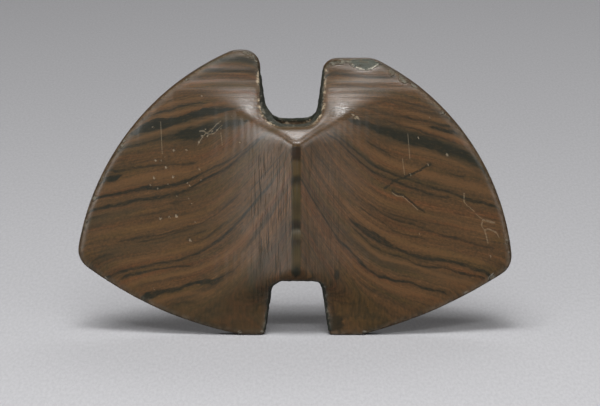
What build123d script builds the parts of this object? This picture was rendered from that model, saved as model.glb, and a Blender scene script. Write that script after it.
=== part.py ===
"""A double-notched butterfly bannerstone: one stone, ground and drilled from a slab of banded slate.

Two thin wings spread from a keeled barrel. A U-shaped notch is cut into the barrel from above and another
from below, and a straight bore runs between the notch floors, where a spear-thrower's shaft passes through.

The frame is in millimetres. The bore's axis is Z, with the origin half way along the bore. X runs along the
wings, +X to the right as seen from the front, and Y runs through the thickness, with the front face at -Y.
The stone stands on its two feet, the lower ends of the wings beside the bottom notch.
"""

import os
from math import cos, radians, sin, tan

from build123d import *

# Front outline: the left wing
left_reach = 62.3  # the tip's corner before it is rounded
left_tip_height = -17.1
left_lobe_top = 43.0
left_crown_end = 17.3  # where the lobe's short crown meets the long upper edge
left_edge_radius = 75.5
left_belly_radius = 112.0
left_foot_end = 15.0

# Front outline: the right wing
right_reach = 62.4
right_tip_height = -19.3
right_lobe_top = 40.6
right_crown_end = 22.3
right_edge_radius = 71.0
right_belly_radius = 140.0
right_foot_end = 19.0

# Front outline: what both wings share
foot_depth = 39.0  # the feet's resting faces lie this far below the bore's middle
crown_radius = 8.0
left_tip_radius = 6.0
right_tip_radius = 6.0
left_lobe_corner_radius = 4.5
right_lobe_corner_radius = 4.0
foot_outer_radius = 6.0
foot_inner_radius = 1.2

# The bore
bore_radius = 6.5

# Plan section, as half thicknesses measured from the mid-plane
keel_offset = 0.6  # the keel stands a little to the right of the bore's axis
keel_half_depth = 11.4
keel_width = 2.6  # flat facet along the keel's crest
flank_angle = 25.0  # how steeply each flank falls from the keel's crest
wing_root_distance = 30.0  # from the keel to where the flank has run out into the wing
wing_root_half = 4.2
wing_tip_half = 2.4

# Side section: the upper shoulder, where the barrel falls away to the lobes
keel_top = 17.8  # upper end of the keel's crest
top_shoulder_angle = 33.5
top_shoulder_rise = 4.4  # height of the shoulder's straight part
lobe_root_height = 36.0  # where the shoulder has run out into the lobes
lobe_edge_half = 2.4
lobe_taper_angle = 6.5

# Side section: the lower shoulder, where the barrel falls away to the feet
keel_bottom = 19.5
bottom_shoulder_angle = 40.0
bottom_shoulder_drop = 2.9
foot_root_depth = 33.0
foot_edge_half = 3.1
foot_taper_angle = 5.5

# The notches, on the mid-plane, where each is narrowest
top_notch_width = 13.9  # across the floor, before its corners are rounded
top_notch_offset = -0.85  # the notch's middle lies a little to the left of the bore's axis
top_notch_floor = 24.4
top_notch_splay = 7.5  # each wall leans out by this angle towards the mouth
top_notch_flare = 15.0  # each wall and the floor open by this angle towards both faces
top_notch_left_radius = 4.5
top_notch_right_radius = 4.0
bottom_notch_width = 13.4
bottom_notch_offset = 0.7
bottom_notch_floor = 23.2
bottom_notch_splay = 8.4
bottom_notch_flare = 6.0
bottom_notch_left_radius = 3.6
bottom_notch_right_radius = 2.4

# Wear on the ground edges
hip_radius = 3.0  # the ridges that run out from the keel's ends
rim_bevel = 0.7  # how far the wear reaches from each rim, on the face and on the wall

# A flake struck from the front edge of the right lobe
flake_radius = 12.6
flake_place = 20.2  # across from the bore's axis
flake_depth = 1.1  # how far the scar bites into the edge
flake_lean = 25.0  # angle above straight forward at which the flake came off

blank_margin = 2.0  # how far the rough blank stands outside the finished outline
side_facing = 0.5  # a face whose unit normal has a larger Y part belongs to the front or the back


def concave_ramp(start, start_slope, end, end_slope):
    """Curve that leaves start falling at start_slope and runs out at end, falling at end_slope."""
    turn = (start[1] - end[1] + start_slope * start[0] - end_slope * end[0]) / (start_slope - end_slope)
    Bezier(start, (turn, start[1] - start_slope * (turn - start[0])), end)


def plan_quarter():
    """One quarter of the plan section: crest, flank and wing, out to the blank's edge."""
    crest = keel_width / 2
    blank_reach = max(left_reach, right_reach) + keel_offset + blank_margin
    wing_root = (wing_root_distance, wing_root_half)
    wing_slope = (wing_root_half - wing_tip_half) / (blank_reach - wing_root_distance)
    Line((0, keel_half_depth), (crest, keel_half_depth))
    concave_ramp((crest, keel_half_depth), tan(radians(flank_angle)), wing_root, wing_slope)
    Line(wing_root, (blank_reach, wing_tip_half))
    Line((blank_reach, wing_tip_half), (blank_reach, 0))


def shoulder_quarter(end, crest_end, rise, angle, root, edge, edge_half, taper):
    """One quarter of the side section: crest, shoulder and wing edge.

    end is 1 towards the lobes and -1 towards the feet.
    """
    slope = tan(radians(angle))
    edge_slope = tan(radians(taper))
    straight_end = (end * (crest_end + rise), keel_half_depth - slope * rise)
    root_point = (end * root, edge_half + edge_slope * (edge - root))
    beyond = (end * (edge + blank_margin), edge_half - edge_slope * blank_margin)
    Line((0, keel_half_depth), (end * crest_end, keel_half_depth))
    Line((end * crest_end, keel_half_depth), straight_end)
    concave_ramp(straight_end, end * slope, root_point, end * edge_slope)
    Line(root_point, beyond)
    Line(beyond, (beyond[0], 0))


def wing_outline(side, lobe_top, crown_end, edge_radius, reach, tip_height, belly_radius, foot_end):
    """Front outline of one wing, from the bore's axis outward. side is -1 for the left, 1 for the right."""
    crown = (side * crown_end, lobe_top)
    tip = (side * reach, tip_height)
    foot = (side * foot_end, -foot_depth)
    Line((0, lobe_top), crown)
    RadiusArc(crown, tip, side * edge_radius)
    RadiusArc(tip, foot, side * belly_radius)
    Line(foot, (0, -foot_depth))
    Line((0, -foot_depth), (0, lobe_top))


def notch_outline(end, offset, floor, width, splay, edge):
    """Front outline of a notch, open past the stone's edge. end is 1 for the top and -1 for the bottom."""
    mouth = edge + blank_margin
    lean = (mouth - floor) * tan(radians(splay))
    Polyline((offset - width / 2, end * floor), (offset - width / 2 - lean, end * mouth),
             (offset + width / 2 + lean, end * mouth), (offset + width / 2, end * floor), close=True)


with BuildPart() as bannerstone:
    # The slab with its keel, as one long prism of the plan section
    with BuildSketch(Plane((keel_offset, 0, -foot_depth - blank_margin))):
        with BuildLine():
            plan_quarter()
            mirror(about=Plane.YZ)
            mirror(about=Plane.XZ)
        make_face()
    extrude(amount=foot_depth + left_lobe_top + 2 * blank_margin)

    # The shoulders, ground away above and below the keel's crest, drawn along the bore's axis
    with BuildSketch(Plane((0, 0, 0), x_dir=(0, 0, 1), z_dir=(1, 0, 0))):
        with BuildLine():
            shoulder_quarter(1, keel_top, top_shoulder_rise, top_shoulder_angle,
                             lobe_root_height, left_lobe_top, lobe_edge_half, lobe_taper_angle)
            shoulder_quarter(-1, keel_bottom, bottom_shoulder_drop, bottom_shoulder_angle,
                             foot_root_depth, foot_depth, foot_edge_half, foot_taper_angle)
            mirror(about=Plane.XZ)
        make_face()
    extrude(amount=left_reach + right_reach, both=True, mode=Mode.INTERSECT)

    # The ridges between flanks and shoulders, worn round, with the keel's two ends
    crest_edges = bannerstone.edges().group_by(Axis.Y)[0] + bannerstone.edges().group_by(Axis.Y)[-1]
    fillet(bannerstone.edges().filter_by(GeomType.BSPLINE) + crest_edges.filter_by(Axis.X), hip_radius)

    # The front outline, its corners rounded as the stone's are
    with BuildSketch(Plane.XZ) as outline:
        with BuildLine():
            wing_outline(-1, left_lobe_top, left_crown_end, left_edge_radius,
                         left_reach, left_tip_height, left_belly_radius, left_foot_end)
        make_face()
        with BuildLine():
            wing_outline(1, right_lobe_top, right_crown_end, right_edge_radius,
                         right_reach, right_tip_height, right_belly_radius, right_foot_end)
        make_face()
        fillet(outline.vertices().sort_by(Axis.X)[0], left_tip_radius)
        fillet(outline.vertices().sort_by(Axis.X)[-1], right_tip_radius)
        fillet(outline.vertices().sort_by_distance((-left_crown_end, left_lobe_top, 0))[0], crown_radius)
        fillet(outline.vertices().sort_by_distance((right_crown_end, right_lobe_top, 0))[0], crown_radius)
        fillet(outline.vertices().sort_by_distance((-left_foot_end, -foot_depth, 0))[0], foot_outer_radius)
        fillet(outline.vertices().sort_by_distance((right_foot_end, -foot_depth, 0))[0], foot_outer_radius)
    extrude(amount=keel_half_depth, both=True, mode=Mode.INTERSECT)

    # The two notches, opening towards their mouths and towards both faces
    with BuildSketch(Plane.XZ) as top_notch:
        with BuildLine():
            notch_outline(1, top_notch_offset, top_notch_floor, top_notch_width, top_notch_splay,
                          left_lobe_top)
        make_face()
        fillet(top_notch.vertices().group_by(Axis.Y)[0].sort_by(Axis.X)[0], top_notch_left_radius)
        fillet(top_notch.vertices().group_by(Axis.Y)[0].sort_by(Axis.X)[-1], top_notch_right_radius)
    extrude(amount=keel_half_depth, both=True, taper=-top_notch_flare, mode=Mode.SUBTRACT)
    crowns = bannerstone.faces().filter_by(Axis.Z).sort_by(Axis.Z)[-2:].sort_by(Axis.X)
    for crown, radius in zip(crowns, (left_lobe_corner_radius, right_lobe_corner_radius)):
        fillet(crown.edges().sort_by_distance((top_notch_offset, 0, crown.center().Z))[:2], radius)

    with BuildSketch(Plane.XZ) as bottom_notch:
        with BuildLine():
            notch_outline(-1, bottom_notch_offset, bottom_notch_floor, bottom_notch_width,
                          bottom_notch_splay, foot_depth)
        make_face()
        fillet(bottom_notch.vertices().group_by(Axis.Y)[-1].sort_by(Axis.X)[0], bottom_notch_left_radius)
        fillet(bottom_notch.vertices().group_by(Axis.Y)[-1].sort_by(Axis.X)[-1], bottom_notch_right_radius)
    extrude(amount=keel_half_depth, both=True, taper=-bottom_notch_flare, mode=Mode.SUBTRACT)
    for foot in bannerstone.faces().filter_by(Axis.Z).sort_by(Axis.Z)[:2]:
        fillet(foot.edges().sort_by_distance((bottom_notch_offset, 0, -foot_depth))[:2], foot_inner_radius)

    # The worn rims, all round the stone and the notches
    sides = bannerstone.faces().filter_by(lambda face: abs(face.normal_at(face.center()).Y) > side_facing)
    walls = bannerstone.faces() - sides
    chamfer(sides.edges() & walls.edges(), rim_bevel)

    # The bore, drilled from notch floor to notch floor
    Hole(bore_radius)

    # The flake scar on the right lobe's front edge
    flake_reach = flake_radius - flake_depth
    with Locations((flake_place,
                    -lobe_edge_half - flake_reach * cos(radians(flake_lean)),
                    right_lobe_top + flake_reach * sin(radians(flake_lean)))):
        Sphere(flake_radius, mode=Mode.SUBTRACT)


os.makedirs("parts", exist_ok=True)
bannerstone.part.label = "bannerstone"
export_step(bannerstone.part, "parts/bannerstone.step")
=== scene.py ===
"""Looks for the bannerstone: a finely meshed, worn stone of banded slate on a pale floor.

The stone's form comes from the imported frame. It is remeshed finely, its ridges are worn soft, its outer
rims roll over, and its flakes and chips are real geometry. The slate's layers are flat in the stone, so its
material is worked out in the stone's own coordinates, and the layers fan out where the barrel rises.

Lengths are in metres, and MM turns millimetres into them. +X is to the stone's right, +Z up along its bore,
and its front faces -Y.
"""

from math import cos, radians, sin

import bpy
import numpy as np
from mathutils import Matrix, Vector, kdtree, noise


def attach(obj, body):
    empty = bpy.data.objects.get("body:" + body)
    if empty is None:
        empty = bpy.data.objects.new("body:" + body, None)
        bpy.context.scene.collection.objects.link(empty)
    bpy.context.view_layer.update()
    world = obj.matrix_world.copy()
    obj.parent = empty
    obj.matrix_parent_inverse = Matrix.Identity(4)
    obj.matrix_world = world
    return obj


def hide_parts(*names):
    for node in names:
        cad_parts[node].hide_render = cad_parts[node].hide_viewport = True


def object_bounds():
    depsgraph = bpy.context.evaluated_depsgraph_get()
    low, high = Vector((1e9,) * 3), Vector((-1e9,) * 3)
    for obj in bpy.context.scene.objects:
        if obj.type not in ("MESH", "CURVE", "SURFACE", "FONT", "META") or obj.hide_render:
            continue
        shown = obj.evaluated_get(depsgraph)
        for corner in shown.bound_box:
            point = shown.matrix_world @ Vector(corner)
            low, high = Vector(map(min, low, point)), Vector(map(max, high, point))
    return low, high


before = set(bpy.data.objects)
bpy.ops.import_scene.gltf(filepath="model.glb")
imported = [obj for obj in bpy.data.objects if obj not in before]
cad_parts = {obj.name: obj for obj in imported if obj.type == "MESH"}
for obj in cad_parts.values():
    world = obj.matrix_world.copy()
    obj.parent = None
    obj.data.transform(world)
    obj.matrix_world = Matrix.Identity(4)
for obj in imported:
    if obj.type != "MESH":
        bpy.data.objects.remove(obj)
cad_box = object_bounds()

MM = 0.001

# The camera, as the photograph was taken
camera_distance = 1200 * MM
camera_elevation = radians(8.7)
photo_width = 171.4 * MM  # what the frame spans at the stone
aim_right = 1.57 * MM
aim_down = 1.03 * MM
sensor_width = 36.0  # Blender's own unit, millimetres

# The mesh
voxel = 0.49 * MM
side_slope = 0.55  # a point whose unit normal has a larger Y part belongs to the front or the back
wall_slope = 0.3  # a point whose unit normal has a smaller Y part belongs to a rim or a notch wall
keel_offset = 0.6 * MM

# Wear on the ridges, the rims and the ground faces
hip_start = 4.0 * MM  # from the keel; nearer to it the ridges are still crisp
hip_full = 15.0 * MM
roll_width = 2.5 * MM
roll_depth = 0.2 * MM
waist_reach = 2.0 * MM
wave_depth = 0.06 * MM  # the hand-ground faces' slow unevenness
wave_length = 11.0 * MM
rough_depth = 0.16 * MM  # the pecked notch walls
rough_length = 1.5 * MM


def edge_ends(mesh):
    """The two vertex numbers of every edge, as two arrays."""
    ends = np.empty(len(mesh.edges) * 2, np.int32)
    mesh.edges.foreach_get("vertices", ends)
    return ends[0::2], ends[1::2]


def read_points(mesh):
    points = np.empty(len(mesh.vertices) * 3)
    mesh.vertices.foreach_get("co", points)
    return points.reshape(-1, 3)


def read_normals(mesh):
    normals = np.empty(len(mesh.vertices) * 3)
    mesh.vertex_normals.foreach_get("vector", normals)
    return normals.reshape(-1, 3)


def write_points(mesh, points):
    mesh.vertices.foreach_set("co", points.ravel())
    mesh.update()


def smooth(points, ends, share, rounds, axes=(0, 1, 2)):
    """Moves each point towards its neighbours' middle by its own share, for so many rounds."""
    first, second = ends
    count = len(points)
    neighbours = np.bincount(first, minlength=count) + np.bincount(second, minlength=count)
    points = points.copy()
    for _ in range(rounds):
        for axis in axes:
            values = points[:, axis]
            middle = (np.bincount(first, values[second], count)
                      + np.bincount(second, values[first], count)) / neighbours
            points[:, axis] = values + share * (middle - values)
    return points


def ramp(value, low, high):
    """0 below low, 1 above high, and a smooth rise between them."""
    t = np.clip((value - low) / (high - low), 0, 1)
    return t * t * (3 - 2 * t)


def distance_to(points, targets):
    """How far each point is from the nearest target."""
    tree = kdtree.KDTree(len(targets))
    for number, target in enumerate(targets):
        tree.insert(target, number)
    tree.balance()
    return np.array([tree.find(point)[2] for point in points])


def waves(points, length, seed):
    """Smooth random heights, about -1 to 1, that change over length."""
    shift = Vector((seed * 7.3, seed * 3.1, seed * 5.7))
    return np.array([noise.noise(Vector(point) / length + shift) for point in points])


def mark(mesh, name, values):
    """Keeps one number for each point, which the material reads by name."""
    attribute = mesh.attributes.new(name, "FLOAT", "POINT")
    attribute.data.foreach_set("value", np.asarray(values, np.float32))


def fine_stone():
    """A fine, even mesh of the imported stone."""
    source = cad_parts["bannerstone"]
    stone = bpy.data.objects.new("slate_stone", source.data.copy())
    bpy.context.scene.collection.objects.link(stone)
    weld = stone.modifiers.new("weld", "WELD")
    weld.merge_threshold = 0.001 * MM
    remesh = stone.modifiers.new("remesh", "REMESH")
    remesh.mode = "VOXEL"
    remesh.voxel_size = voxel
    depsgraph = bpy.context.evaluated_depsgraph_get()
    fine = bpy.data.meshes.new_from_object(stone.evaluated_get(depsgraph))
    stone.modifiers.clear()
    stone.data = fine
    fine.polygons.foreach_set("use_smooth", np.ones(len(fine.polygons), bool))
    return stone


def wear_form(mesh):
    """Wears the ridges soft, rolls the outer rims over and roughens the notch walls. Returns the rims' points."""
    ends = edge_ends(mesh)
    points = read_points(mesh)
    points = smooth(points, ends, np.full(len(points), 0.5), 4)
    write_points(mesh, points)
    normals = read_normals(mesh)
    across = np.abs(normals[:, 1])
    wall = across < wall_slope
    in_notch = (np.abs(points[:, 0]) < 11.5 * MM) & (np.abs(points[:, 2]) < 37.5 * MM)
    outer_distance = distance_to(points, points[wall & ~in_notch])
    wall_distance = distance_to(points, points[wall])

    # The ridges between flanks and shoulders
    from_keel = np.abs(points[:, 0] - keel_offset)
    height = np.abs(points[:, 2])
    soft = ramp(from_keel, hip_start, hip_full) * ramp(wall_distance, 0.5 * MM, 2.5 * MM)
    soft *= ramp(across, side_slope, 0.8) * ramp(height, 14 * MM, 20 * MM)
    points = smooth(points, ends, 0.7 * soft, 220, axes=(1,))

    # The waists inside the notches
    in_wall = wall & in_notch
    waist = in_wall * (1 - ramp(np.abs(points[:, 1]), 0.6 * waist_reach, waist_reach))
    points = smooth(points, ends, 0.5 * waist, 12)

    # The outer rims roll over
    facing = np.sign(points[:, 1]) * np.minimum(1, np.abs(points[:, 1]) / (2 * MM))
    near_rim = np.clip(1 - outer_distance / roll_width, 0, 1)
    points[:, 1] -= facing * roll_depth * near_rim ** 2

    # Slow unevenness of the faces, and the pecked notch walls
    write_points(mesh, points)
    normals = read_normals(mesh)
    lift = wave_depth * waves(points, wave_length, 1) + 0.25 * wave_depth * waves(points, 0.3 * wave_length, 2)
    lift *= ramp(outer_distance, 0.3 * MM, 4 * MM)
    pecked = in_notch * (1 - ramp(wall_distance, 0.9 * MM, 1.2 * MM))
    lift = lift * (1 - pecked) + pecked * rough_depth * (waves(points, rough_length, 3)
                                                         + 0.6 * waves(points, 0.5 * rough_length, 4))
    points += normals * lift[:, None]
    write_points(mesh, points)
    mark(mesh, "pecked", pecked)
    # The lip along the notches' rims, which the material paints pale: partly chipped stone, partly a painted
    # highlight
    lip = in_notch * ramp(wall_distance, 0.8 * MM, 1.1 * MM) * (1 - ramp(wall_distance, 1.3 * MM, 2 * MM))
    chips_and_highlight = np.where(points[:, 1] < 0, ramp(np.abs(points[:, 0]), 4.5 * MM, 6.5 * MM), 1)
    mark(mesh, "lip", lip * (points[:, 2] > 0) * chips_and_highlight)
    mark(mesh, "rim", (1 - ramp(wall_distance, 0.2 * MM, 2.4 * MM)) * ramp(across, 0.25, 0.5))
    return (wall_distance < rim_reach) & (across > wall_slope)


# Flakes and chips, each as (x, z, side, radius, depth): a ball of that radius bites the rim there
chips = [
    (13.0, 40.4, -1, 3.0, 0.5),
    (15.4, 40.6, -1, 2.2, 0.4),
    (11.2, 39.2, -1, 2.0, 0.35),
    (27.5, 36.8, -1, 2.0, 0.25),
    (31.0, 34.6, -1, 2.4, 0.45),
    (33.5, 32.8, -1, 2.2, 0.35),
    (-12.6, 42.6, -1, 2.4, 0.45),
    (-10.4, 41.2, -1, 1.8, 0.5),
    (-14.2, 42.9, -1, 2.0, 0.3),
    (-10.2, 30.5, -1, 1.6, 0.35),
    (-10.0, 27.8, -1, 1.4, 0.3),
    (-9.7, 25.6, -1, 1.8, 0.35),
    (8.6, 26.8, -1, 1.3, 0.25),
    (8.8, 32.0, -1, 1.2, 0.2),
    (56.5, -21.8, -1, 2.0, 0.3),
    (61.0, -12.0, -1, 1.6, 0.2),
    (-20.0, 42.0, 1, 4.0, 0.5),
    (30.0, 35.5, 1, 5.0, 0.5),
]
nick_count = 90
nick_seed = 11
half_rim = 2.4 * MM
rim_reach = 1.2 * MM
fresh_reach = 3.5 * MM  # larger flakes are old and as dark as the rest

# The large flake scar on the right lobe, which is in the frame already
scar_centre = (20.2 * MM, -12.8 * MM, 45.5 * MM)
scar_radius = 12.95 * MM


def bite(points, centre, radius):
    """Pushes every point inside the ball out onto it, into the stone, and tells which points moved."""
    offset = points - centre
    length = np.linalg.norm(offset, axis=1)
    inside = length < radius
    points[inside] = centre + offset[inside] / length[inside, None] * radius
    return inside


def chip_rims(mesh, rim):
    """Bites the listed flakes and chips and many small nicks out of the rims, and marks the fresh stone."""
    points = read_points(mesh)
    normals = read_normals(mesh)
    rim = np.flatnonzero(rim)
    tree = kdtree.KDTree(len(rim))
    for number in rim:
        tree.insert(points[number], number)
    tree.balance()
    rng = np.random.default_rng(nick_seed)
    bites = [(tree.find((x * MM, side * half_rim, z * MM))[1], radius * MM, depth * MM)
             for x, z, side, radius, depth in chips]
    for number in rng.choice(rim, nick_count, replace=False):
        bites.append((number, rng.uniform(0.6, 1.6) * MM, rng.uniform(0.06, 0.2) * MM))
    fresh = np.zeros(len(points))
    for number, radius, depth in bites:
        fresh[bite(points, points[number] + normals[number] * (radius - depth), radius)] = radius < fresh_reach
    points = np.clip(points, np.array(cad_box[0]), np.array(cad_box[1]))
    write_points(mesh, points)
    mark(mesh, "fresh", fresh)
    from_centre = np.linalg.norm(points - Vector(scar_centre), axis=1)
    scar = from_centre < scar_radius
    around = ~scar & (from_centre < 1.3 * scar_radius)
    edge = np.zeros(len(points))
    edge[scar] = 1 - ramp(distance_to(points[scar], points[around]), 0.4 * MM, 0.75 * MM)
    edge *= 1 - ramp(points[:, 2], 38.6 * MM, 39.6 * MM)
    mark(mesh, "scar", scar)
    mark(mesh, "scar_edge", edge)


stone = fine_stone()
chip_rims(stone.data, wear_form(stone.data))
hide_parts("bannerstone")
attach(stone, "root")


# The slate's layers. A layer's level is z + layer_tilt * y, and x runs along it. All numbers in these tables are
# millimetres. A band is (strength, softness, runs), and a run is a list of (x, level, half thickness).
layer_tilt = 4.2
half_span = 66.0
level_span = 80.0
absent = -0.5
run_taper = 1.6

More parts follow.
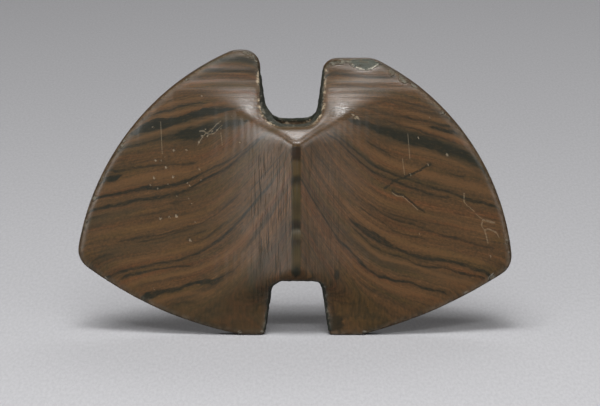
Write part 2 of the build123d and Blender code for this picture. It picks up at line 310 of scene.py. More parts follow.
dark_bands = [
    # Upper left wing
    (0.85, 0.25, [[(-40, 10.9, 0.2), (-38, 11, 0.3), (-35, 10.5, 0.3), (-33, 10.9, 0.35), (-30, 10.9, 0.35),
                   (-27, 10.5, 0.3), (-25, 9.8, 0.1)],
                  [(30, 6.6, 0.2), (32.7, 6.8, 0.3), (37.3, 7.3, 0.3), (40, 7.3, 0.35), (44, 7.8, 0.3)]]),
    (1.7, 0.6, [[(-46.5, 7.6, 0.6), (-44.7, 7.5, 1.1), (-42, 7.3, 1.5), (-39.3, 7.4, 1.8), (-36.7, 6.8, 1.4),
                 (-33.7, 6.7, 1.0), (-31.7, 6.7, 0.7), (-30.3, 6.9, 0.95), (-28, 6.9, 1.1), (-25.3, 6.6, 1.05),
                 (-22.7, 6, 1.05), (-20.3, 5.3, 0.8), (-17.7, 4.7, 0.4)],
                [(39.3, 6, 0.2), (43, 6, 0.3), (46, 6.6, 0.2)]]),
    (0.8, 0.3, [[(-50.3, 1.8, 0.3), (-48.7, 2, 0.45), (-46.7, 2.2, 0.45), (-44.7, 2.3, 0.4), (-42, 2.4, 0.3),
                 (-38, 2.6, 0.3), (-35, 2.6, 0.3)],
                [(27.3, 3.9, 0.2), (30, 3.5, 0.25), (32.7, 3.9, 0.25), (38, 3.5, 0.3), (42.3, 3.3, 0.25),
                 (45.7, 3, 0.2)]]),
    (1.15, 0.9, [[(-37.5, 2.2, 0.3), (-33.5, 1.9, 0.8), (-32, 1.9, 1.2), (-30, 2, 1.6), (-28, 1.5, 1.7),
                 (-26, 1.3, 1.6), (-24, 1.1, 1.4), (-22, 0.6, 1.2), (-20, -0.1, 1.1), (-18, -0.9, 1.1),
                 (-16, -1.9, 1.0), (-14, -3.2, 0.6)],
                [(16, -2.6, 0.7), (20, -0.6, 1.0), (22.3, -0.1, 1.1), (25, 0.5, 1.2), (27.3, 0.9, 1.3),
                 (30, 0.8, 1.5), (32.7, 0.9, 1.5), (35.3, 1.1, 1.6), (38, 1, 1.6), (40.7, 0.8, 1.6),
                 (42.7, 0.3, 1.6), (45, 0.3, 1.5), (47.3, -0.1, 1.4), (49.3, -0.7, 1.4), (51.3, -1.5, 1.2),
                 (52.7, -2.4, 0.8), (54, -3.8, 0.4)]]),
    (0.8, 0.25, [[(-53.7, -3.6, 0.2), (-51.7, -4, 0.35), (-50.7, -4.6, 0.35), (-48.7, -4.5, 0.35),
                  (-46.7, -4.4, 0.3), (-44, -4.7, 0.3), (-40.7, -5.1, 0.2), (-34, -6, 0.1), (-30, -6.6, 0.35),
                  (-28.7, -6.6, 0.2)],
                 [(20.7, -5.3, 0.2), (25, -5, 0.3), (27.3, -5.3, 0.2)],
                 [(42, -6.8, 0.15), (48, -6.8, 0.2)]]),
    (1.3, 0.3, [[(-55.3, -6.2, 0.3), (-54.3, -6.3, 0.7), (-52.7, -6.3, 0.8), (-51, -6.3, 0.75),
                 (-49.7, -5.9, 0.4)]]),
    # The pair of long lines across the middle of both wings
    (0.95, 0.3, [[(-57.3, -10.7, 0.3), (-55.3, -11, 0.4), (-50, -11, 0.4), (-46, -11, 0.5), (-44, -11, 0.6),
                  (-42, -11.1, 0.65), (-40.3, -11.5, 0.55), (-38, -11.8, 0.5), (-35.3, -11.8, 0.5),
                  (-33, -11.7, 0.5), (-30.7, -11.3, 0.5), (-28.3, -11, 0.35), (-25.3, -10.5, 0.2),
                  (-22.7, -10.5, 0.2), (-20, -11.1, 0.25), (-17, -11.5, 0.25), (-14, -12.5, 0.2),
                  (-12, -13, 0.2), (-10, -13.7, 0.2), (-8, -15, 0.2)],
                 [(11, -12.3, 0.25), (14, -11.4, 0.3), (16.7, -10.9, 0.3), (22.3, -10.5, 0.35),
                  (27.3, -10.5, 0.3), (30.7, -10.7, 0.2), (37.3, -11.7, 0.2), (42.7, -12.2, 0.3),
                  (46, -12.6, 0.3), (48.7, -13, 0.4), (51.3, -13.1, 0.45), (54, -13.2, 0.45),
                  (56.7, -13.5, 0.4), (58, -13.4, 0.4)]]),
    (0.95, 0.3, [[(-58.7, -13.6, 0.4), (-57, -14.2, 0.5), (-52, -14.2, 0.55), (-49.3, -14.3, 0.55),
                  (-46.7, -14, 0.55), (-44, -14.2, 0.5), (-38.7, -14.5, 0.5), (-33.3, -14.4, 0.45),
                  (-30.7, -13.9, 0.35), (-28, -13.2, 0.3), (-25.3, -12.7, 0.3), (-23.3, -12.6, 0.3),
                  (-20.3, -12.9, 0.3), (-17.3, -13.1, 0.3), (-14, -13.3, 0.3), (-12, -13.8, 0.25),
                  (-10, -14.3, 0.25), (-8, -15.2, 0.2)],
                 [(9.3, -15, 0.2), (11.3, -13.6, 0.35), (13.3, -12.9, 0.35), (15.3, -12.9, 0.35),
                  (18, -12.7, 0.35), (20.7, -12.4, 0.35), (24, -12.2, 0.35), (27.3, -12.2, 0.3),
                  (32.7, -13.1, 0.25), (35.3, -13.6, 0.3), (38, -14, 0.3), (40, -14.2, 0.25),
                  (44, -14, 0.15)]]),
    (0.5, 0.4, [[(-58, -16.5, 0.3), (-53, -16.5, 0.3)], [(-35, -17, 0.3), (-33.7, -17, 0.8), (-32.4, -17, 0.3)],
                [(46, -17.9, 0.3), (48, -17.9, 0.3)]]),
    (0.5, 0.4, [[(-58.7, -18.8, 0.3), (-55, -18.8, 0.3)]]),
    # Thin lines in the belly of both wings
    (0.7, 0.2, [[(-49.7, -24.7, 0.2), (-46, -24.8, 0.3), (-42, -24.9, 0.25), (-38.7, -25.1, 0.15),
                 (-33, -25.2, 0.2), (-30, -24.9, 0.25), (-27, -24.7, 0.2), (-24.3, -24.3, 0.15),
                 (-20.3, -23.6, 0.25), (-18.5, -23.4, 0.4), (-16.5, -23.4, 0.35), (-15.3, -23.6, 0.15)],
                [(21.3, -22.6, 0.2), (26.7, -23.4, 0.25), (31.3, -23.4, 0.25), (35.3, -23.8, 0.25),
                 (38, -24.3, 0.3), (43.3, -24.8, 0.3), (49.3, -25.2, 0.3), (52.7, -25.5, 0.3),
                 (56.7, -25.8, 0.25)]]),
    (0.6, 0.2, [[(-44, -26, 0.15), (-41, -26, 0.2), (-33, -25.9, 0.2), (-28.7, -25.5, 0.2)],
                [(25.3, -22.2, 0.15), (30, -22.3, 0.2), (34, -22.4, 0.2), (36.7, -22.7, 0.15)]]),
    (0.6, 0.2, [[(-58, -28.2, 0.2), (-52, -28.2, 0.2)], [(-30, -27.8, 0.15), (-25.3, -27, 0.2)],
                [(3.3, -29, 0.3), (4, -26.8, 0.25), (6, -26.1, 0.25), (10.7, -25, 0.2)],
                [(15.3, -26.5, 0.15), (19.3, -25.9, 0.2), (24, -25.5, 0.2), (28, -26.5, 0.2), (32.7, -26.8, 0.2),
                 (37.3, -27, 0.15)]]),
    (0.6, 0.25, [[(-28.7, -29.6, 0.15), (-24.5, -29, 0.25), (-22, -28.7, 0.4), (-20.7, -28.5, 0.2)],
                 [(-13, -25.7, 0.15), (-8.7, -26, 0.25), (-6, -26.8, 0.25), (-3.3, -28.2, 0.25)]]),
    (0.9, 0.3, [[(-53.7, -32.8, 0.2), (-52.3, -33.2, 0.25), (-47, -33.3, 0.25), (-43.3, -33.5, 0.25),
                 (-38.7, -33.4, 0.25), (-33.3, -33.7, 0.25), (-30, -33.3, 0.3), (-27.3, -32.9, 0.35),
                 (-25, -32.5, 0.45), (-22.7, -32.1, 0.5), (-20, -31.9, 0.5), (-17.3, -31.6, 0.5),
                 (-14, -30.9, 0.45), (-10, -30.5, 0.35), (-8, -31, 0.3), (-6, -31.6, 0.2)],
                [(16, -31.8, 0.4), (18, -31.5, 0.7), (20, -31.3, 1.0), (22.3, -30.9, 1.15), (24.7, -30.9, 1.0),
                 (27.3, -31.1, 0.7), (29.3, -31.5, 0.4), (31.3, -32, 0.35), (34, -32.4, 0.5), (36, -32.7, 0.55),
                 (38, -32.4, 0.4), (43.3, -32, 0.35), (49.3, -32.1, 0.4), (52, -32.4, 0.5),
                 (56, -32.2, 0.5)]]),
    (0.8, 0.2, [[(-49.2, -34.9, 0.2), (-47.7, -34.7, 0.35), (-45, -34.8, 0.35), (-42, -35, 0.2),
                 (-34.7, -35.5, 0.15), (-32, -35.9, 0.25), (-29.3, -36.1, 0.15)],
                [(16.7, -33.4, 0.15), (19.3, -33.6, 0.25), (22, -33.9, 0.25), (25, -33.6, 0.2),
                 (31.3, -33.8, 0.2), (35.3, -35, 0.25), (40, -34.6, 0.3), (42.7, -34, 0.3), (46, -34.5, 0.3),
                 (49.3, -34.5, 0.3), (54, -33.8, 0.25)]]),
    (0.35, 0.5, [[(-44, -38.2, 0.2), (-34, -38.9, 0.4), (-22, -39.5, 0.2)],
                 [(17.3, -36.8, 0.4), (22.3, -37.2, 0.6), (27.3, -37.4, 0.6), (32, -37.2, 0.5)]]),
    (1.0, 0.3, [[(-43.8, -40.9, 0.2), (-42.3, -41.1, 0.7), (-40.7, -41.3, 0.75), (-38.7, -41.3, 0.6),
                 (-36.7, -41.5, 0.45), (-34.7, -41.8, 0.5), (-32.7, -41.8, 0.55), (-30.7, -41.3, 0.5),
                 (-28.7, -41.3, 0.4), (-26.7, -41.8, 0.6), (-25, -42.2, 0.7), (-23.7, -43, 0.7),
                 (-22, -43.6, 0.7), (-21, -43.5, 0.45), (-20, -43.4, 0.15), (-17.5, -44, 0.1)],
                [(2, -40.2, 0.2), (6, -40.2, 0.25), (8.7, -40.6, 0.3), (10.7, -41.1, 0.35), (12.7, -41.4, 0.35),
                 (15.7, -40.7, 0.35), (17, -40.8, 0.3), (19, -41.4, 0.35), (21.3, -41.8, 0.35),
                 (23.3, -41.8, 0.3), (26, -41.3, 0.3), (28.7, -41.1, 0.3), (30.7, -40.7, 0.3),
                 (33.3, -40.6, 0.3), (35.7, -41, 0.3), (38, -41.1, 0.3), (43.3, -40.8, 0.3)]]),
    (0.6, 0.7, [[(-13.7, -40.7, 0.3), (-11.7, -40.2, 0.8), (-10, -40, 1.2), (-8.3, -40, 1.3), (-6.7, -40.5, 0.9),
                 (-4.3, -40, 0.25), (-2.7, -40, 0.2)]]),
    (0.4, 0.3, [[(-38, -44.7, 0.15), (-33, -45.4, 0.25), (-28, -46, 0.15)],
                [(18, -47, 0.15), (20, -47, 0.25), (24, -45.7, 0.2)]]),
    # Lobes
    (0.8, 0.6, [[(-25.7, 25.6, 0.8), (-23.3, 25.7, 1.2), (-20.7, 25.1, 1.1), (-18, 24.8, 0.8), (-15.3, 25.1, 0.7),
                 (-12.7, 25.7, 1.0), (-11, 26, 1.1), (-8, 26.4, 0.9)],
                [(8, 24, 0.6), (10, 24, 0.7), (13, 23.6, 0.7), (17, 23, 0.7), (21, 22.6, 0.7), (25, 22.5, 0.7),
                 (28, 23.2, 0.6)]]),
    (0.5, 0.3, [[(-18, 21.9, 0.15), (-13, 22.2, 0.25), (-10, 22.6, 0.2)],
                [(10.7, 18.7, 0.2), (14, 17.8, 0.25), (17.3, 17, 0.2), (30, 14.6, 0.2), (40, 13.6, 0.25)]]),
    (0.5, 0.3, [[(-36, 14, 0.15), (-28, 14.2, 0.25), (-22, 13.6, 0.15)],
                [(9.5, 3.6, 0.4), (11.5, 3.5, 0.6), (13.4, 3.3, 0.3), (28, 11.4, 0.15), (34, 11.8, 0.25),
                 (42, 12.2, 0.2)]]),
    (0.5, 0.3, [[(9, 20, 0.15), (14, 19.6, 0.25), (20, 19.2, 0.2), (30, 10, 0.15), (36, 10.2, 0.25),
                 (40, 10.6, 0.2)]]),
    # Layers that come out only on the back and along the top, made up in the same manner
    (0.9, 0.5, [[(-30, 31, 0.7), (-16, 30.4, 1.1), (-6, 30.8, 0.9), (8, 31.4, 0.8), (24, 31, 1.2), (34, 30.2, 0.6)]]),
    (0.9, 0.3, [[(-52, 37.4, 0.2), (-34, 36.8, 0.5), (-12, 37.6, 0.4), (10, 38.2, 0.3), (30, 37.2, 0.5),
                 (50, 37.8, 0.3)]]),
    (1.0, 0.7, [[(-40, 43.2, 0.6), (-26, 42.4, 1.6), (-10, 43, 0.9), (6, 43.8, 0.5), (20, 43.4, 1.2),
                 (36, 42.6, 1.7), (48, 43.2, 0.5)]]),
    (0.8, 0.3, [[(-44, 47.2, 0.3), (-24, 46.8, 0.35), (0, 47.6, 0.3), (24, 47.2, 0.4), (44, 46.6, 0.2)]]),
    (0.95, 0.3, [[(-36, 52, 0.4), (-18, 51.2, 0.6), (0, 52, 0.5), (18, 52.6, 0.5), (38, 51.8, 0.4)]]),
    (0.8, 0.3, [[(-34, 53.6, 0.2), (-14, 53, 0.35), (4, 53.8, 0.3), (30, 53.8, 0.3)]]),
    (0.9, 0.4, [[(-24, 58.2, 0.5), (-8, 57.6, 0.9), (6, 58.2, 0.7), (22, 57.8, 0.4)]]),
    (0.8, 0.3, [[(-12, 62.8, 0.4), (0, 63.2, 0.6), (12, 62.6, 0.4)]]),
]

# Broad zones that are duller and greener
green_zones = [
    (0.55, 2.5, [[(-50, 2, 1.5), (-42, 4.5, 3.0), (-30, 3.5, 3.5), (-20, 1.5, 2.5), (-13, -2.5, 1.2)],
                 [(20, -0.5, 1.0), (32, 1, 2.2), (46, 0, 2.4), (54, -3, 1.0)]]),
    (0.60, 1.5, [[(-30, 31, 2.0), (-10, 31, 2.5)], [(8, 30.5, 1.5), (30, 29, 1.5)]]),
    (0.45, 2.0, [[(-61, -17, 1.5), (-52, -16.5, 2.2), (-44, -16, 1.0)]]),
    (0.40, 3.0, [[(-34, -46, 1.5), (-20, -49, 3.5), (-8, -52, 4.5)]]),
    (0.30, 2.0, [[(-55, -28, 2.0), (-40, -27, 2.0), (-24, -26, 1.0)],
                 [(14, -37, 1.0), (30, -37, 1.8), (42, -37, 1.0)]]),
]

light_bands = [
    (0.8, 0.5, [[(-46, 9.2, 0.3), (-40, 9.4, 0.6), (-32, 9, 0.5), (-24, 8.6, 0.3)],
                [(31, 4.9, 0.3), (36, 5.2, 0.55), (42, 4.8, 0.6), (48, 4.6, 0.5), (51, 4, 0.3)]]),
    (0.6, 0.5, [[(-45, 12.6, 0.3), (-36, 12.8, 0.5), (-26, 12.2, 0.3)],
                [(31, 8.8, 0.3), (38, 9, 0.4), (46, 9, 0.3)]]),
    (0.7, 0.5, [[(-49, 4.4, 0.3), (-42, 4.6, 0.5), (-34, 4.6, 0.5), (-26, 4.4, 0.4), (-20, 3.2, 0.3)],
                [(28, -2.6, 0.3), (36, -2.2, 0.5), (46, -3, 0.4), (50, -4.4, 0.3)]]),
    (0.7, 0.8, [[(-54, -8.6, 0.6), (-46, -8.2, 1.1), (-38, -8.4, 0.9), (-30, -8.6, 0.5)],
                [(18, -7.6, 0.6), (28, -7.4, 1.0), (40, -8.8, 1.1), (54, -9.6, 0.8), (60, -9.8, 0.6)]]),
    (0.45, 0.9, [[(-56, -21.6, 0.6), (-44, -22, 1.1), (-30, -22.2, 1.0), (-18, -20.4, 0.8)],
                 [(12, -19, 0.8), (26, -19.4, 1.0), (40, -20.4, 1.0), (56, -21.6, 0.8)]]),
    (0.6, 0.5, [[(-50, -31, 0.4), (-38, -31.2, 0.6), (-26, -30.6, 0.4)],
                [(14, -28.8, 0.5), (24, -28.6, 0.7), (38, -29.8, 0.7), (54, -30.2, 0.5)]]),
    (0.7, 0.6, [[(-47, -37, 0.4), (-36, -37.6, 0.6), (-24, -37.8, 0.6), (-12, -37, 0.4)],
                [(17, -35, 0.5), (23, -35.4, 0.8), (32, -35.6, 0.7), (44, -36.6, 0.7), (52, -36, 0.4)]]),
    (0.6, 0.5, [[(-40, -43.4, 0.3), (-30, -43.6, 0.5), (-24, -45.2, 0.4)],
                [(12, -43.4, 0.4), (24, -43.6, 0.7), (38, -43, 0.5)]]),
]

# The keel's crest, from its upper end downward, as (level, colour)
keel_colors = [
    (-66.0, (0.016, 0.016, 0.009)),
    (-63.5, (0.048, 0.034, 0.016)),
    (-60.5, (0.036, 0.029, 0.013)),
    (-58.2, (0.018, 0.015, 0.009)),
    (-56.6, (0.044, 0.033, 0.016)),
    (-55.2, (0.066, 0.058, 0.040)),
    (-54.2, (0.010, 0.010, 0.007)),
    (-52.8, (0.010, 0.010, 0.007)),
    (-51.2, (0.038, 0.028, 0.012)),
    (-48.5, (0.024, 0.019, 0.009)),
    (-46.0, (0.034, 0.027, 0.011)),
    (-43.0, (0.042, 0.032, 0.013)),
    (-41.0, (0.009, 0.010, 0.006)),
    (-39.8, (0.010, 0.010, 0.006)),
    (-38.6, (0.048, 0.032, 0.012)),
    (-35.6, (0.040, 0.027, 0.011)),
    (-34.4, (0.011, 0.007, 0.004)),
    (-31.4, (0.011, 0.007, 0.004)),
    (-30.6, (0.060, 0.038, 0.020)),
]

# Where handling has polished the front brightest, in the same form
polished = [
    (0.3, 19.3, 3.2, 2.4, 0.05),
    (-12.9, 25.5, 3.6, 2.4, 0.06),
    (13.4, 25.8, 3.8, 2.2, 0.08),
]

keel_left = -0.7
keel_right = 1.6

# Dark spots on the front, as (x, z, half width, half height, strength)
spots = [
    (11.6, -35.2, 2.7, 2.8, 0.75),
    (12.1, -20.8, 0.75, 1.8, 0.8),
    (0.5, -19.3, 0.8, 1.7, 0.95),
]

# Pale pecks on the front, as (x, level, radius)
pecks = [
    (-40.2, 6.7, 0.4), (-34.4, -1.7, 0.45), (-39.5, -3.6, 0.4), (-37.9, -4.0, 0.3), (-36.8, -3.2, 0.3),
    (-36.5, -6.3, 0.4), (-30.7, -2.4, 0.4), (-40.0, -8.7, 0.4), (-34.5, -9.5, 0.45), (-41.0, -10.6, 0.25),
    (-36.0, -11.3, 0.25), (-38.9, -12.0, 0.35), (-27.0, -9.1, 0.3), (-30.5, -12.0, 0.3), (-29.8, -12.9, 0.3),
    (-26.5, -12.5, 0.25), (-33.4, -15.3, 0.25), (-30.1, -16.3, 0.25), (-29.3, -18.0, 0.2),
    (-38.2, -20.6, 0.55), (-35.7, -20.8, 0.3), (-33.6, -21.0, 0.5), (-29.7, -28.8, 0.4), (-28.2, -24.0, 0.2),
    (-15.5, -8.8, 0.3), (-40.0, -40.4, 0.25), (-27.2, -0.9, 0.35), (-26.2, 0.1, 0.4), (-25.2, 1.5, 0.3),
    (-24.7, -0.5, 0.35), (-23.4, 0.1, 0.45), (-22.0, -0.4, 0.3), (-20.9, -0.6, 0.3), (-17.7, 1.6, 0.3),
    (-26.3, 13.0, 0.35), (16.6, 0.6, 0.7), (17.8, 0.2, 0.75), (17.2, -0.6, 0.5),
    (43.5, -1.4, 0.5), (35.2, 1.8, 0.35), (38.5, 8.7, 0.3), (35.7, -25.9, 0.25), (33.0, -9.4, 0.25),
    (56.0, -27.8, 0.3), (38.0, -5.6, 0.3),
]

# Hairlines on the front: each is (half thickness, run), and a run is a list of (x, level)
whitish_lines = [
    (0.16, [(53.7, -18.0), (57.0, -18.0)]),
    (0.16, [(54.2, -20.9), (55.3, -20.3), (57.7, -20.9), (58.3, -22.0)]),
    (0.17, [(-27.4, -1.6), (-26.6, -0.6), (-25.2, 0.4), (-23.6, 0.5), (-22.4, 1.4), (-21.0, 1.8)]),
    (0.15, [(-26.9, 1.6), (-25.6, 1.2), (-24.4, -0.3), (-22.8, -0.9), (-20.6, 0.2)]),
    (0.12, [(27.9, -15.9), (29.3, -16.5), (31, -16.3), (32, -17.1), (33.7, -18.0), (35, -19.0)]),
]
dark_lines = [
    (0.28, [(25.5, -15.5), (26.5, -14.5), (27.7, -13), (29, -11.8), (31, -10.7), (32.8, -9.5), (34.3, -8.6),
            (36, -7.4), (37.7, -5.9), (38.8, -5.4)]),
    (0.28, [(27.7, -15.3), (29.3, -15.9), (31, -15.7), (32, -16.5), (33.7, -17.4), (35, -18.4), (37, -19.3)]),
]
upright_lines = [  # a crack and four scratches, as (level, x), because they stand too steeply for x
    (0.14, [(-24.5, 55.2), (-22, 54.6), (-20.9, 54.2), (-19.7, 53.3), (-18, 53.7), (-17.2, 52.3), (-15.7, 50.7),
           (-15.1, 49.3), (-14, 48.3), (-11.8, 48.3)]),
    (0.08, [(-2, -37.6), (7.5, -38)]),
    (0.08, [(-5.5, -20.5), (-2, -20.9)]),
    (0.08, [(-4.7, 32.8), (2, 32.2)]),
    (0.08, [(-9.7, 31.3), (-5, 30.7)]),
]
hook = [(-26.5, -9.6), (-25.6, -11.2), (-22.5, -12.3), (-18.5, -12.4)]  # the bend above the left foot, as (z, x)

# Colours, from dark to light
lamina_colors = [
    (0.00, (0.019, 0.016, 0.009)),
    (0.30, (0.038, 0.024, 0.012)),
    (0.50, (0.056, 0.031, 0.0135)),
    (0.70, (0.072, 0.037, 0.0150)),
    (1.00, (0.106, 0.055, 0.023)),
]
band_color = (0.013, 0.013, 0.0085)
light_color = (0.100, 0.051, 0.020)
pale_color = (0.27, 0.215, 0.145)
fresh_color = (0.10, 0.092, 0.072)
scar_color = (0.046, 0.050, 0.040)
edge_color = (0.36, 0.33, 0.27)
green_color = (0.030, 0.027, 0.015)
wall_color = (0.014, 0.016, 0.010)


class Graph:
    """Adds nodes to a material and wires them. A plain number or vector is set on its socket."""

    def __init__(self, material):
        self.tree = material.node_tree

    def add(self, kind, *inputs, output=0, **settings):
        node = self.tree.nodes.new("ShaderNode" + kind)
        for name, value in settings.items():
            setattr(node, name, value)
        for socket, value in zip(node.inputs, inputs):
            self.feed(socket, value)
        return node.outputs[output]

    def feed(self, socket, value):
        if isinstance(value, bpy.types.NodeSocket):
            self.tree.links.new(value, socket)
        elif value is not None:
            socket.default_value = value

    def math(self, operation, *inputs, clamp=False):
        return self.add("Math", *inputs, operation=operation, use_clamp=clamp)

    def clamp01(self, value):
        return self.math("ADD", value, 0.0, clamp=True)

    def rise(self, value, low, high):
        """0 at low, 1 at high, and a smooth rise between them."""
        return self.add("MapRange", value, low, high, 0.0, 1.0, interpolation_type="SMOOTHSTEP")

    def between(self, value, low, high, soft):
        """1 between low and high, and 0 outside them."""
        inside = self.math("MULTIPLY", self.rise(value, low - soft, low), self.rise(value, high + soft, high))
        return inside

    def vector(self, x, y, z=0.0):
        return self.add("CombineXYZ", x, y, z)

    def noise(self, x, y, z=0.0, detail=2.0, roughness=0.5):
        """Smooth noise, about 0.5 on average, over the three coordinates."""
        node = self.tree.nodes.new("ShaderNodeTexNoise")
        node.noise_dimensions = "3D"
        self.feed(node.inputs["Vector"], self.vector(x, y, z))
        node.inputs["Scale"].default_value = 1.0
        node.inputs["Detail"].default_value = detail
        node.inputs["Roughness"].default_value = roughness
        return node.outputs["Fac"]

    def mix(self, share, first, second, blend="MIX"):
        """Mixes two colours."""
        node = self.tree.nodes.new("ShaderNodeMix")
        node.data_type = "RGBA"
        node.blend_type = blend
        self.feed(node.inputs[0], share)
        for number, color in ((6, first), (7, second)):
            self.feed(node.inputs[number], color if isinstance(color, bpy.types.NodeSocket) else (*color, 1))
        return node.outputs[2]

    def color_ramp(self, value, stops):
        node = self.tree.nodes.new("ShaderNodeValToRGB")
        elements = node.color_ramp.elements
        while len(elements) < len(stops):
            elements.new(0.5)
        for element, (place, color) in zip(elements, stops):
            element.position = place
            element.color = (*color, 1)
        self.feed(node.inputs[0], value)
        return node.outputs[0]

    def curve(self, value, span, points, smooth_line):
        """A line through (place, height) points, both within plus and minus their spans."""
        node = self.tree.nodes.new("ShaderNodeFloatCurve")
        line = node.mapping.curves[0]
        first, *middle, last = [((place + span[0]) / (2 * span[0]), (height + span[1]) / (2 * span[1]))
                                for place, height in points]
        line.points[0].location = first
        line.points[1].location = last
        for place, height in middle:
            line.points.new(place, height)
        for point in line.points:
            point.handle_type = "AUTO_CLAMPED" if smooth_line else "VECTOR"
        node.mapping.update()
        self.feed(node.inputs["Factor"], 1.0)
        self.feed(node.inputs["Value"], self.math("MULTIPLY_ADD", value, 0.5 / span[0], 0.5))
        return self.math("MULTIPLY_ADD", node.outputs[0], 2 * span[1], -span[1])

    def largest(self, values):
        values = list(values)
        result = values[0]
        for value in values[1:]:
            result = self.math("MAXIMUM", result, value)
        return result


def stone_coordinates(g):
    """x, y, z in the stone's own millimetres, and the layer's level with the slight waviness of real beds."""
    place = g.add("TexCoord", output=3)
    x, y, z = (g.math("MULTIPLY", g.add("SeparateXYZ", place, output=axis), 1 / MM) for axis in range(3))
    level = g.math("MULTIPLY_ADD", y, layer_tilt, z)
    slow = g.noise(g.math("DIVIDE", x, 7.0), g.math("DIVIDE", level, 5.0), g.math("DIVIDE", y, 6.0))
    quick = g.noise(g.math("DIVIDE", x, 1.5), g.math("DIVIDE", level, 0.8), g.math("DIVIDE", y, 2.0), detail=3.0)
    level = g.math("MULTIPLY_ADD", g.math("SUBTRACT", slow, 0.5), 1.1, level)
    level = g.math("MULTIPLY_ADD", g.math("SUBTRACT", quick, 0.5), 0.55, level)
    return x, y, z, level


def band_mask(g, x, level, streaks, band):
    """How strongly one band colours the slate: its runs follow their points, with streaky edges."""
    strength, softness, runs = band
    centres = []
    halves = [(-half_span, absent)]
    for run in runs:
        centres += [(place, height) for place, height, half in run]
        halves.append((run[0][0] - run_taper, absent))
        halves += [(place, half) for place, height, half in run]
        halves.append((run[-1][0] + run_taper, absent))
    halves.append((half_span, absent))
    centre = g.curve(x, (half_span, level_span), centres, True)
    half = g.curve(x, (half_span, 4.0), halves, False)
    half = g.math("MULTIPLY_ADD", streaks, 1.1 * softness + 0.2, half)
    distance = g.math("ABSOLUTE", g.math("SUBTRACT", level, centre))
    inside = g.math("SUBTRACT", half, distance)
    core = g.math("MULTIPLY_ADD", inside, 1 / (1.3 * softness), 0.5, clamp=True)
    halo = g.math("MULTIPLY_ADD", inside, 1 / (4 * softness), 0.75, clamp=True)
    return g.math("MULTIPLY", g.math("MULTIPLY_ADD", halo, 0.3, g.math("MULTIPLY", core, 0.7)), strength)


def line_mask(g, along, across, front, half, points):
    """A hairline on the front that follows its points, with across as a line over along."""
    centre = g.curve(along, (half_span, level_span), points, False)
    distance = g.math("ABSOLUTE", g.math("SUBTRACT", across, centre))
    inside = g.rise(distance, 2 * half, 0.5 * half)
    run = g.between(along, points[0][0], points[-1][0], 0.3)
    return g.math("MULTIPLY", g.math("MULTIPLY", inside, run), front)


def peck_mask(g, x, level, front):
    """Small ragged specks at the listed places."""
    shift = g.noise(g.math("DIVIDE", x, 0.5), g.math("DIVIDE", level, 0.8), detail=3.0, roughness=0.8)
    place = g.vector(g.math("MULTIPLY_ADD", shift, 1.6, g.math("SUBTRACT", x, 0.8)),
                     g.math("MULTIPLY_ADD", shift, -2.2, g.math("ADD", level, 1.1)))
    specks = []
    for across, height, radius in pecks:
        away = g.add("VectorMath", place, (across, height, 0), operation="DISTANCE", output=1)
        specks.append(g.math("DIVIDE", 0.85 * radius, away))
    near = g.largest(specks)
    return g.math("MULTIPLY", g.rise(near, 0.9, 1.7), front)


def spot_mask(g, x, z, front, ragged, places):
    """Soft spots with ragged edges."""
    marks = []
    for across, height, half_width, half_height, strength in places:
        reach = g.add("VectorMath", g.vector(g.math("MULTIPLY_ADD", x, 1 / half_width, -across / half_width),
                                             g.math("MULTIPLY_ADD", z, 1 / half_height, -height / half_height)),
                      operation="LENGTH", output=1)
        reach = g.math("MULTIPLY_ADD", g.math("SUBTRACT", ragged, 0.5), 1.2, reach)
        marks.append(g.math("MULTIPLY", g.rise(reach, 1.15, 0.7), strength))
    return g.math("MULTIPLY", g.largest(marks), front)


def base_laminae(g, x, y, level):
    """The slate's close laminae: thin ones, thicker ones and broad zones, from dark olive to orange brown."""
    def layers(along, across, slow, detail):
        return g.noise(g.math("DIVIDE", x, along), g.math("DIVIDE", level, across), g.math("DIVIDE", y, slow),
                       detail=detail, roughness=0.6)
    fine = layers(16.0, 0.42, 30.0, 3.0)
    medium = layers(30.0, 1.5, 40.0, 3.0)
    broad = layers(45.0, 7.0, 50.0, 2.0)
    grain = g.noise(g.math("DIVIDE", x, 0.7), g.math("DIVIDE", level, 0.5), g.math("DIVIDE", y, 0.7), detail=3.0)
    tone = 0.5
    for value, weight in ((fine, 0.85), (medium, 0.75), (broad, 0.5), (grain, 0.95)):
        tone = g.math("MULTIPLY_ADD", g.math("SUBTRACT", value, 0.5), weight, tone)
    color = g.color_ramp(tone, lamina_colors)
    hue = layers(38.0, 2.6, 35.0, 2.0)
    color = g.mix(g.rise(hue, 0.52, 0.70), color, (0.93, 1.02, 0.92), "MULTIPLY")
    color = g.mix(g.rise(hue, 0.48, 0.30), color, (1.12, 0.95, 0.90), "MULTIPLY")
    return color, tone


def keel_tint(g, x, y, z, level):
    """The keel's crest, polished dark, and how far it reaches."""
    low = keel_colors[0][0]
    high = keel_colors[-1][0]
    stops = [((height - low) / (high - low), color) for height, color in keel_colors]
    color = g.color_ramp(g.add("MapRange", level, low, high, 0.0, 1.0), stops)
    waver = g.noise(g.math("DIVIDE", x, 2.0), g.math("DIVIDE", z, 1.6), detail=3.0)
    strip = g.between(g.math("MULTIPLY_ADD", waver, 0.9, g.math("SUBTRACT", x, 0.45)), keel_left, keel_right, 0.4)
    crest = g.rise(g.math("ABSOLUTE", y), 10.3, 10.9)
    share = g.math("MULTIPLY", strip, g.math("MULTIPLY", crest, g.between(z, -20.5, 16.6, 0.8)))
    return color, share


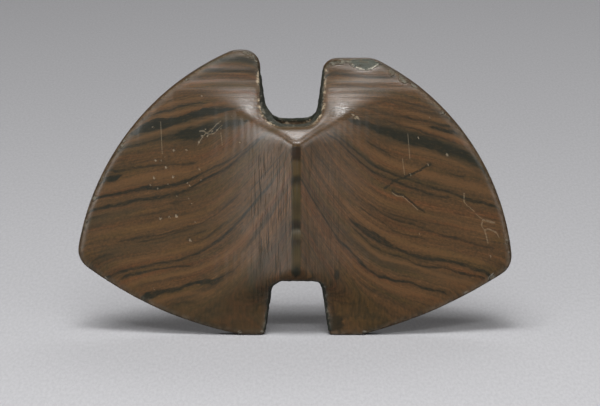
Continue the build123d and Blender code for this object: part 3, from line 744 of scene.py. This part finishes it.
def slate_material():
    material = bpy.data.materials.new("slate")
    material.use_nodes = True
    g = Graph(material)
    shader = material.node_tree.nodes["Principled BSDF"]
    x, y, z, level = stone_coordinates(g)
    front = g.rise(y, 0.5, -0.5)
    streaks = g.math("SUBTRACT", g.noise(g.math("DIVIDE", x, 2.6), g.math("DIVIDE", level, 0.35),
                                         g.math("DIVIDE", y, 3.0), detail=4.0, roughness=0.65), 0.5)

    color, tone = base_laminae(g, x, y, level)
    green = g.largest(band_mask(g, x, level, streaks, band) for band in green_zones)
    color = g.mix(green, color, green_color)
    light = g.largest(band_mask(g, x, level, streaks, band) for band in light_bands)
    color = g.mix(g.math("MULTIPLY", light, 0.75), color, light_color)
    dark = g.largest(band_mask(g, x, level, streaks, band) for band in dark_bands)
    flecks = g.noise(g.math("DIVIDE", x, 0.9), g.math("DIVIDE", level, 0.22), g.math("DIVIDE", y, 0.9), detail=3.0,
                     roughness=0.7)
    speckle = g.math("MULTIPLY_ADD", streaks, 2.4, g.math("MULTIPLY_ADD", flecks, 2.6, -0.5), clamp=True)
    dark = g.math("MULTIPLY", dark, g.math("MULTIPLY", speckle, 1.2), clamp=True)
    pepper = g.math("MULTIPLY", g.rise(flecks, 0.62, 0.74), g.rise(tone, 0.60, 0.42))
    color = g.mix(g.largest([dark, g.math("MULTIPLY", pepper, 0.7)]), color, band_color)
    strip_color, strip = keel_tint(g, x, y, z, level)
    color = g.mix(g.math("MULTIPLY", strip, 0.85), color, strip_color)
    dark_hair = g.largest(line_mask(g, x, level, front, half, run) for half, run in dark_lines)
    broken = g.rise(flecks, 0.34, 0.52)
    color = g.mix(g.math("MULTIPLY", dark_hair, broken), color, band_color)
    pale_hair = g.largest([line_mask(g, x, level, front, half, run) for half, run in whitish_lines]
                          + [line_mask(g, level, x, front, half, run) for half, run in upright_lines])
    color = g.mix(g.math("MULTIPLY", g.math("MULTIPLY", pale_hair, 0.32), broken), color, pale_color)
    pecked_dots = peck_mask(g, x, level, front)
    color = g.mix(g.math("MULTIPLY", pecked_dots, 0.5), color, pale_color)

    ragged = g.noise(g.math("DIVIDE", x, 1.4), g.math("DIVIDE", y, 1.4), g.math("DIVIDE", z, 1.4), detail=4.0,
                     roughness=0.65)
    color = g.mix(spot_mask(g, x, z, front, ragged, spots), color, band_color)
    color = g.mix(g.math("MULTIPLY", line_mask(g, z, x, front, 0.5, hook), 0.4), color, green_color)

    # Rims with painted shade and pale flecks, the flecks part wear and part painted highlight; rough notch walls; a
    # pale notch lip, part chips and part painted highlight; fresh stone in the flake scars
    rim = g.add("Attribute", attribute_name="rim", output=2)
    walls = g.add("Attribute", attribute_name="pecked", output=2)
    lip = g.add("Attribute", attribute_name="lip", output=2)
    fresh = g.add("Attribute", attribute_name="fresh", output=2)
    scar = g.add("Attribute", attribute_name="scar", output=2)
    scar_edge = g.add("Attribute", attribute_name="scar_edge", output=2)
    # Pale flecks on the rims: partly wear, partly a painted rim highlight
    worn = g.math("MULTIPLY", rim, g.rise(ragged, 0.42, 0.62))
    # Painted shade: the rims are darkened towards the band colour
    color = g.mix(g.math("MULTIPLY", rim, 0.4), color, band_color)
    color = g.mix(g.math("MULTIPLY", worn, 0.2), color, pale_color)
    color = g.mix(g.math("MULTIPLY", walls, g.rise(ragged, 0.85, 0.50)), color, wall_color)
    crumbs = g.rise(flecks, 0.58, 0.72)
    color = g.mix(g.math("MULTIPLY", walls, g.math("MULTIPLY", crumbs, 0.5)), color, edge_color)
    # Painted highlight, partly chips: the pale line along the notches' lips
    color = g.mix(g.math("MULTIPLY", lip, g.rise(ragged, 0.48, 0.62)), color, pale_color)
    color = g.mix(g.math("MULTIPLY", fresh, g.rise(ragged, 0.35, 0.6)), color, fresh_color)
    color = g.mix(g.math("MULTIPLY", scar, g.rise(ragged, 0.80, 0.45)), color, scar_color)
    color = g.mix(g.math("MULTIPLY", scar, g.math("MULTIPLY", crumbs, 0.4)), color, edge_color)
    color = g.mix(g.math("MULTIPLY", scar_edge, g.rise(ragged, 0.40, 0.52)), color, edge_color)

    # Grinding marks: upright on the flanks, level on the lobes; and painted shade, darker towards the bottom of the
    # flanks
    from_keel = g.math("ABSOLUTE", g.math("SUBTRACT", x, 0.45))
    flank = g.math("MULTIPLY", g.between(from_keel, 2.2, 10.5, 4.5), g.between(z, -26.0, 13.0, 7.0))
    upright = g.math("SUBTRACT", g.noise(g.math("DIVIDE", x, 0.28), g.math("DIVIDE", y, 9.0),
                                         g.math("DIVIDE", z, 16.0), detail=3.0, roughness=0.6), 0.5)
    flank = g.math("MULTIPLY", flank, g.math("MULTIPLY_ADD", g.rise(x, 1.0, -1.0), 0.45, 0.55))
    upright = g.math("MULTIPLY", upright, flank)
    lobe = g.math("MULTIPLY", g.rise(z, 14.0, 26.0), 0.65)
    across = g.math("SUBTRACT", g.noise(g.math("DIVIDE", x, 12.0), g.math("DIVIDE", y, 4.0),
                                        g.math("DIVIDE", z, 0.3), detail=3.0, roughness=0.6), 0.5)
    across = g.math("MULTIPLY", across, lobe)
    marks = g.math("ADD", upright, across)
    # Painted shade: the lower flanks are darkened in colour, and further down they are also given a duller gloss
    low_flank_dull_and_shaded = g.math("MULTIPLY", flank, g.rise(z, 6.0, -22.0))
    shade = g.math("MULTIPLY_ADD", marks, 2.0, g.math("MULTIPLY_ADD", low_flank_dull_and_shaded, -0.12, 1.0))
    color = g.mix(1.0, color, g.vector(shade, shade, shade), "MULTIPLY")
    scratch = g.noise(g.math("DIVIDE", x, 0.22), g.math("DIVIDE", y, 3.0), g.math("DIVIDE", z, 7.0), detail=2.0)
    scratch = g.math("MULTIPLY", g.rise(scratch, 0.43, 0.33), flank)
    color = g.mix(g.math("MULTIPLY", scratch, 0.85), color, band_color)
    g.feed(shader.inputs["Base Color"], color)

    roughness = g.math("MULTIPLY_ADD", streaks, 0.12, 0.30)
    roughness = g.math("SUBTRACT", roughness, spot_mask(g, x, z, front, ragged, polished))
    roughness = g.math("MULTIPLY_ADD", low_flank_dull_and_shaded, 0.12, roughness)
    roughness = g.math("MULTIPLY_ADD", rim, 0.35, roughness)
    roughness = g.math("MULTIPLY_ADD", g.math("ABSOLUTE", marks), 0.25, roughness)
    roughness = g.math("MULTIPLY_ADD", g.largest([fresh, scar, walls, pecked_dots]), 0.4, roughness)
    g.feed(shader.inputs["Roughness"], roughness)

    grain = g.noise(g.math("DIVIDE", x, 0.35), g.math("DIVIDE", y, 0.35), g.math("DIVIDE", z, 0.35), detail=3.0)
    height = g.math("MULTIPLY", grain, 0.004)
    height = g.math("MULTIPLY_ADD", tone, 0.006, height)
    height = g.math("MULTIPLY_ADD", marks, 0.035, height)
    height = g.math("MULTIPLY_ADD", scratch, -0.05, height)
    height = g.math("MULTIPLY_ADD", pecked_dots, -0.12, height)
    height = g.math("MULTIPLY_ADD", g.math("MULTIPLY", ragged, g.largest([fresh, scar, walls])), 0.5, height)
    bump = material.node_tree.nodes.new("ShaderNodeBump")
    bump.inputs["Strength"].default_value = 1.0
    bump.inputs["Distance"].default_value = 1 * MM
    g.feed(bump.inputs["Height"], height)
    g.feed(shader.inputs["Normal"], bump.outputs[0])
    return material


stone.data.materials.clear()
stone.data.materials.append(slate_material())

def paper_material():
    """Pale studio paper with a faint tooth."""
    material = bpy.data.materials.new("floor_paper")
    material.use_nodes = True
    g = Graph(material)
    shader = material.node_tree.nodes["Principled BSDF"]
    place = g.add("TexCoord", output=3)
    x, y = (g.math("MULTIPLY", g.add("SeparateXYZ", place, output=axis), 1 / MM) for axis in range(2))
    tooth = g.noise(g.math("DIVIDE", x, 0.8), g.math("DIVIDE", y, 4.0), detail=3.0, roughness=0.7)
    color = g.mix(g.rise(tooth, 0.25, 0.75), (0.345, 0.342, 0.355), (0.405, 0.404, 0.416))
    g.feed(shader.inputs["Base Color"], color)
    shader.inputs["Roughness"].default_value = 0.9
    return material


# The floor
floor_level = cad_box[0].z
floor_reach = 12.0
floor_mesh = bpy.data.meshes.new("floor")
floor_mesh.from_pydata([(-floor_reach, -floor_reach, floor_level), (floor_reach, -floor_reach, floor_level),
                        (floor_reach, floor_reach, floor_level), (-floor_reach, floor_reach, floor_level)],
                       [], [(0, 1, 2, 3)])
floor = bpy.data.objects.new("floor", floor_mesh)
bpy.context.scene.collection.objects.link(floor)
floor_mesh.materials.append(paper_material())
floor.visible_glossy = False


def area_light(name, place, target, size, power):
    data = bpy.data.lights.new(name, "AREA")
    data.shape = "RECTANGLE"
    data.size, data.size_y = size
    data.energy = power
    light = bpy.data.objects.new(name, data)
    light.location = place
    light.rotation_mode = "QUATERNION"
    light.rotation_quaternion = (Vector(target) - Vector(place)).to_track_quat("-Z", "Y")
    bpy.context.scene.collection.objects.link(light)
    return light


key = area_light("key", (-0.14, -0.75, 1.35), (0, 0, 0), (0.9, 0.7), 26.5)
key.visible_glossy = False
area_light("left_fill", (-0.80, -0.90, 0.08), (0, 0, 0), (0.6, 0.2), 4.9)
area_light("front_top", (0.05, -1.15, 0.80), (0, 0, 0), (1.3, 0.4), 4.2)
area_light("high_glint", (-0.02, -0.67, 1.12), (0, 0, 0), (0.25, 0.1), 3.4)
area_light("low_glint", (0.04, -1.08, 0.70), (0, 0, 0), (0.4, 0.06), 4.4)
area_light("right_fill", (0.80, -0.90, 0.08), (0, 0, 0), (0.6, 0.2), 1.9)
area_light("backdrop", (0.2, 1.1, 1.0), (0, 0.7, 0), (1.2, 0.6), 5.2)

# This one lights the stone alone, so that the back can be seen and no shadow falls towards the camera
stone_only = bpy.data.collections.new("stone_only")
stone_only.objects.link(stone)
back_fill = area_light("back_fill", (0.3, 1.1, 0.7), (0, 0, 0), (1.4, 0.8), 18)
back_fill.light_linking.receiver_collection = stone_only
back_fill.visible_glossy = False

world = bpy.data.worlds.new("studio")
world.use_nodes = True
world.node_tree.nodes["Background"].inputs["Color"].default_value = (0.55, 0.55, 0.56, 1)
world.node_tree.nodes["Background"].inputs["Strength"].default_value = 0.06
bpy.context.scene.world = world
bpy.context.scene.view_settings.view_transform = "Standard"

camera_data = bpy.data.cameras.new("camera")
camera_data.sensor_width = sensor_width
camera_data.lens = sensor_width * camera_distance / photo_width
camera = bpy.data.objects.new("camera", camera_data)
toward = Vector((0, cos(camera_elevation), -sin(camera_elevation)))
up = Vector((0, sin(camera_elevation), cos(camera_elevation)))
aim = Vector((aim_right, 0, 0)) - up * aim_down
camera.location = aim - toward * camera_distance
camera.rotation_mode = "QUATERNION"
camera.rotation_quaternion = toward.to_track_quat("-Z", "Y")
bpy.context.scene.collection.objects.link(camera)
bpy.context.scene.camera = camera
